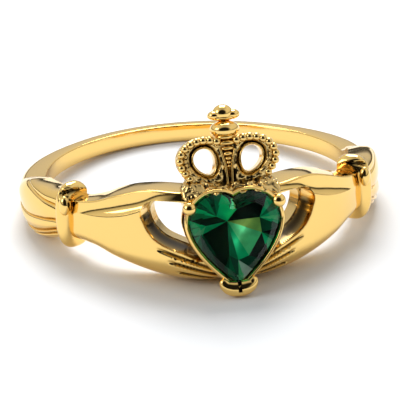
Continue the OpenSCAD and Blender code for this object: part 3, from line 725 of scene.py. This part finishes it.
def makeFacets():    # mirror-like lower facets inside the clear body, painted facet by facet with the stone's light and dark reflections
    f = stoneForm
    cul = np.array(f["culet"])
    line = heartLine(-0.16, 16)
    way = np.arctan2(line[:, 1] - cul[1], line[:, 0] - cul[0])
    order = np.argsort(way)
    line, way = line[order], way[order]
    reach = np.hypot(*(line - cul).T)
    star = sorted(f["star"], key=lambda c: math.atan2(c[1] - cul[1], c[0] - cul[0]))
    spots = [(math.atan2(c[1] - cul[1], c[0] - cul[0]), np.array(c[:2])) for c in star]

    def rimAt(a):
        r = np.interp(a, way, reach, period=2 * math.pi)
        return cul[0] + r * math.cos(a), cul[1] + r * math.sin(a), -0.12

    def starAt(k):
        a, p = spots[k]
        share = np.hypot(*(p - cul)) / np.interp(a, way, reach, period=2 * math.pi)
        deep = f["deep"] * (0.86 - 0.74 * share) if share < 0.7 else f["deep"] * (1 - share)
        return p[0], p[1], -deep
    bottom = (cul[0], cul[1], -0.88 * f["deep"])
    verts, faces, facetLight = [], [], []

    def facet(a, b, c, tone):
        faces.append((len(verts), len(verts) + 1, len(verts) + 2))
        verts.extend([a, b, c])
        facetLight.append(f["facetLight"][tone])
    for k, c in enumerate(star):
        m = (k + 1) % len(star)
        a0, a1 = spots[k][0], spots[m][0]
        a1 += 2 * math.pi if a1 < a0 else 0
        inner = sorted(w for w in np.concatenate([way, way + 2 * math.pi]) if a0 + 0.01 < w < a1 - 0.01)
        rim = [rimAt(w) for w in [a0] + inner + [a1]]
        h = len(rim) // 2
        facet(bottom, starAt(k), starAt(m), c[2])
        for i in range(h):    # every second pair of the small facets is painted a tone darker
            facet(starAt(k), rim[i], rim[i + 1], f["next"][c[3]] if i // 2 % 2 else c[3])
        facet(starAt(k), rim[h], starAt(m), c[4])
        for i in range(h, len(rim) - 1):
            facet(starAt(m), rim[i], rim[i + 1], f["next"][c[5]] if i // 2 % 2 else c[5])
    obj = meshPiece("stone_facets", verts, faces)
    # painted reflections, one colour to a facet
    paint = obj.data.color_attributes.new(name="facet", type="FLOAT_COLOR", domain="CORNER")
    paint.data.foreach_set("color", [v for t in facetLight for _ in range(3) for v in (*t, 1)])
    outward(obj, 1e-4)
    wall = obj.modifiers.new("wall", "SOLIDIFY")
    wall.thickness, wall.offset = 0.03, 0
    applyAll(obj)
    moved(obj, heartFrame)
    return obj


# the near-black tone is painted shade, laid where the crevice mark says: crevices, folds, slits, grooves and
# pits
goldLook = {
    "color": (0.92, 0.62, 0.20, 1), "rough": 0.07, "polish": 900,    # polish: scale of its swirls
    "castTone": (0.68, 0.48, 0.19, 1), "castRough": 0.20, "crevice_shade": (0.02, 0.011, 0.003, 1),
}


def makeGold():
    mat = bpy.data.materials.new("polished_gold")
    mat.use_nodes = True
    nt = mat.node_tree
    new, link = nt.nodes.new, nt.links.new
    shader = nt.nodes["Principled BSDF"]
    shader.inputs["Metallic"].default_value = 1
    coords = new("ShaderNodeTexCoord")
    marks = {}
    for name in ("crevice_shade", "cast"):
        marks[name] = new("ShaderNodeAttribute")
        marks[name].attribute_name = name
    tone = new("ShaderNodeMix")
    tone.data_type = "RGBA"
    tone.inputs["A"].default_value, tone.inputs["B"].default_value = goldLook["color"], goldLook["castTone"]
    link(marks["cast"].outputs["Fac"], tone.inputs["Factor"])
    # painted shade: the crevice mark darkens the base colour towards near black
    deep = new("ShaderNodeMix")
    deep.data_type = "RGBA"
    deep.inputs["B"].default_value = goldLook["crevice_shade"]
    link(tone.outputs["Result"], deep.inputs["A"])
    link(marks["crevice_shade"].outputs["Fac"], deep.inputs["Factor"])
    link(deep.outputs["Result"], shader.inputs["Base Color"])
    swirl = new("ShaderNodeTexNoise")
    swirl.inputs["Scale"].default_value = goldLook["polish"]
    swirl.inputs["Detail"].default_value = 3
    link(coords.outputs["Object"], swirl.inputs["Vector"])
    ramp = new("ShaderNodeMapRange")
    ramp.inputs["To Min"].default_value = goldLook["rough"] * 0.6
    ramp.inputs["To Max"].default_value = goldLook["rough"] * 1.5
    link(swirl.outputs["Fac"], ramp.inputs["Value"])
    coarse = new("ShaderNodeMix")
    link(ramp.outputs["Result"], coarse.inputs["A"])
    coarse.inputs["B"].default_value = goldLook["castRough"]
    link(marks["cast"].outputs["Fac"], coarse.inputs["Factor"])
    link(coarse.outputs["Result"], shader.inputs["Roughness"])
    return mat


gemLook = {"color": (0.80, 1.0, 0.88, 1), "bend": 1.38, "shine": 0.3}


def makeGem():
    mat = bpy.data.materials.new("green_stone")
    mat.use_nodes = True
    shader = mat.node_tree.nodes["Principled BSDF"]
    shader.inputs["Base Color"].default_value = gemLook["color"]
    shader.inputs["Transmission Weight"].default_value = 1
    shader.inputs["Roughness"].default_value = 0.0
    shader.inputs["IOR"].default_value = gemLook["bend"]
    shader.inputs["Specular IOR Level"].default_value = gemLook["shine"]
    return mat


facetLook = {
    "mirror": 0.45, "rough": 0.25,
    "clouds": 1600, "cloudFrom": (0.4, 0.7), "cloudDeep": 0.3, "cloudTone": (0, 0.05, 0.03, 1),
}


def makeFacetMirror():
    mat = bpy.data.materials.new("stone_facets")
    mat.use_nodes = True
    nt = mat.node_tree
    new, link = nt.nodes.new, nt.links.new
    shader = nt.nodes["Principled BSDF"]
    shader.inputs["Metallic"].default_value = facetLook["mirror"]
    shader.inputs["Roughness"].default_value = facetLook["rough"]
    facet, coords, cloud = new("ShaderNodeAttribute"), new("ShaderNodeTexCoord"), new("ShaderNodeTexNoise")
    deep, mix = new("ShaderNodeMapRange"), new("ShaderNodeMix")
    facet.attribute_name = "facet"
    cloud.inputs["Scale"].default_value = facetLook["clouds"]
    cloud.inputs["Detail"].default_value = 4
    link(coords.outputs["Object"], cloud.inputs["Vector"])
    deep.inputs["From Min"].default_value, deep.inputs["From Max"].default_value = facetLook["cloudFrom"]
    deep.inputs["To Min"].default_value, deep.inputs["To Max"].default_value = 0, facetLook["cloudDeep"]
    link(cloud.outputs["Fac"], deep.inputs["Value"])
    mix.data_type = "RGBA"
    mix.inputs["B"].default_value = facetLook["cloudTone"]
    link(deep.outputs["Result"], mix.inputs["Factor"])
    # the painted reflections of the facets feed the base colour
    link(facet.outputs["Color"], mix.inputs["A"])
    link(mix.outputs["Result"], shader.inputs["Base Color"])
    return mat


# degrees, mm, pixels to a mm, pixels
photoView = {"side": 9.62, "above": 18.11, "roll": -2.57, "far": 220, "scale": 17.5, "shift": (-2.3, -22.4)}


def makeCamera():
    f = photoView
    a, e, r = (math.radians(f[k]) for k in ("side", "above", "roll"))
    back = Vector((-math.sin(a) * math.cos(e), -math.cos(a) * math.cos(e), math.sin(e)))
    right = Vector((math.cos(a), -math.sin(a), 0))
    up = back.cross(right)
    rr, uu = math.cos(r) * right + math.sin(r) * up, -math.sin(r) * right + math.cos(r) * up
    cam = bpy.data.cameras.new("photo_camera")
    cam.sensor_width = 36
    cam.lens = f["scale"] * f["far"] / 400 * 36
    cam.shift_x, cam.shift_y = -f["shift"][0] / 400, f["shift"][1] / 400
    cam.clip_start, cam.clip_end = 0.01, 10
    obj = bpy.data.objects.new("photo_camera", cam)
    turn = Matrix((rr, uu, back)).transposed().to_4x4()
    world = toRow @ Matrix.Translation(back * f["far"]) @ turn
    loc, rot, _ = world.decompose()
    obj.location, obj.rotation_mode, obj.rotation_quaternion = loc, "QUATERNION", rot
    bpy.context.collection.objects.link(obj)
    bpy.context.scene.camera = obj


studio = {
    "world": 0.85, "floor": (0.895, 0.91, 0.93, 1),
    # brightness by the sine of the height
    "sky": [(0.0, 0.04), (0.05, 0.08), (0.13, 0.75), (0.35, 0.95), (0.75, 1.0), (1.0, 0.6)],
    # dark card behind the camera
    "cardAt": (-0.16, -0.86, 0.48), "cardEdge": (0.66, 0.84), "cardTone": (0.015, 0.015, 0.015, 1),
    #         name            place               size  watts
    "lamps": [("back_softbox", (0.06, 0.34, 0.42), 0.30, 2.6),
              ("left_softbox", (-0.5, -0.1, 0.3), 0.25, 0.7)],
}


def makeStudio():
    scene = bpy.context.scene
    scene.view_settings.view_transform = "Standard"
    scene.view_settings.look = "None"
    bpy.ops.mesh.primitive_plane_add(size=6, location=(0, 0, 0))
    floor = bpy.context.object
    floor.name = floor.data.name = "studio_floor"
    mat = bpy.data.materials.new("pale_floor")
    mat.use_nodes = True
    shader = mat.node_tree.nodes["Principled BSDF"]
    shader.inputs["Base Color"].default_value = studio["floor"]
    shader.inputs["Roughness"].default_value = 0.9
    floor.data.materials.append(mat)
    world = bpy.data.worlds.new("studio_world")
    scene.world = world
    world.use_nodes = True
    nt = world.node_tree
    bg = nt.nodes["Background"]
    new, link = nt.nodes.new, nt.links.new
    coords, split, ramp = new("ShaderNodeTexCoord"), new("ShaderNodeSeparateXYZ"), new("ShaderNodeValToRGB")
    link(coords.outputs["Generated"], split.inputs[0])
    link(split.outputs["Z"], ramp.inputs["Fac"])
    el = ramp.color_ramp.elements
    while len(el) < len(studio["sky"]):
        el.new(0.5)
    for e, (p, v) in zip(el, studio["sky"]):
        e.position, e.color = p, (v, v, v, 1)
    facing, card, shade = new("ShaderNodeVectorMath"), new("ShaderNodeMapRange"), new("ShaderNodeMix")
    facing.operation = "DOT_PRODUCT"
    facing.inputs[1].default_value = studio["cardAt"]
    link(coords.outputs["Generated"], facing.inputs[0])
    link(facing.outputs["Value"], card.inputs["Value"])
    card.inputs["From Min"].default_value, card.inputs["From Max"].default_value = studio["cardEdge"]
    shade.data_type = "RGBA"
    shade.inputs["B"].default_value = studio["cardTone"]
    link(ramp.outputs["Color"], shade.inputs["A"])
    link(card.outputs["Result"], shade.inputs["Factor"])
    link(shade.outputs["Result"], bg.inputs["Color"])
    bg.inputs["Strength"].default_value = studio["world"]
    for name, loc, size, power in studio["lamps"]:
        light = bpy.data.lights.new(name, "AREA")
        light.shape, light.size, light.energy = "SQUARE", size, power
        lamp = bpy.data.objects.new(name, light)
        lamp.location = loc
        lamp.rotation_mode = "QUATERNION"
        lamp.rotation_quaternion = (-Vector(loc)).to_track_quat("-Z", "Y")
        bpy.context.collection.objects.link(lamp)


makeCamera()
makeBand()
makeSleeves()
makeCuffs()
print("band, sleeves and cuffs made")
makeHands()
print("hands made")
makeSetting()
makeClaws()
makeCrown()
print("setting, claws and crown made")
stone, facets = makeStone(), makeFacets()
gold, gem, facetMirror = makeGold(), makeGem(), makeFacetMirror()
for piece in goldPieces + [stone, facets]:
    isStone = piece in (stone, facets)
    moved(piece, toRow)
    piece.data.materials.clear()
    piece.data.materials.append(gem if piece is stone else facetMirror if piece is facets else gold)
    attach(piece, "root")
    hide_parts("heart_stone" if isStone else "ring_body")
print("pieces in place:", len(goldPieces) + 2)
makeStudio()
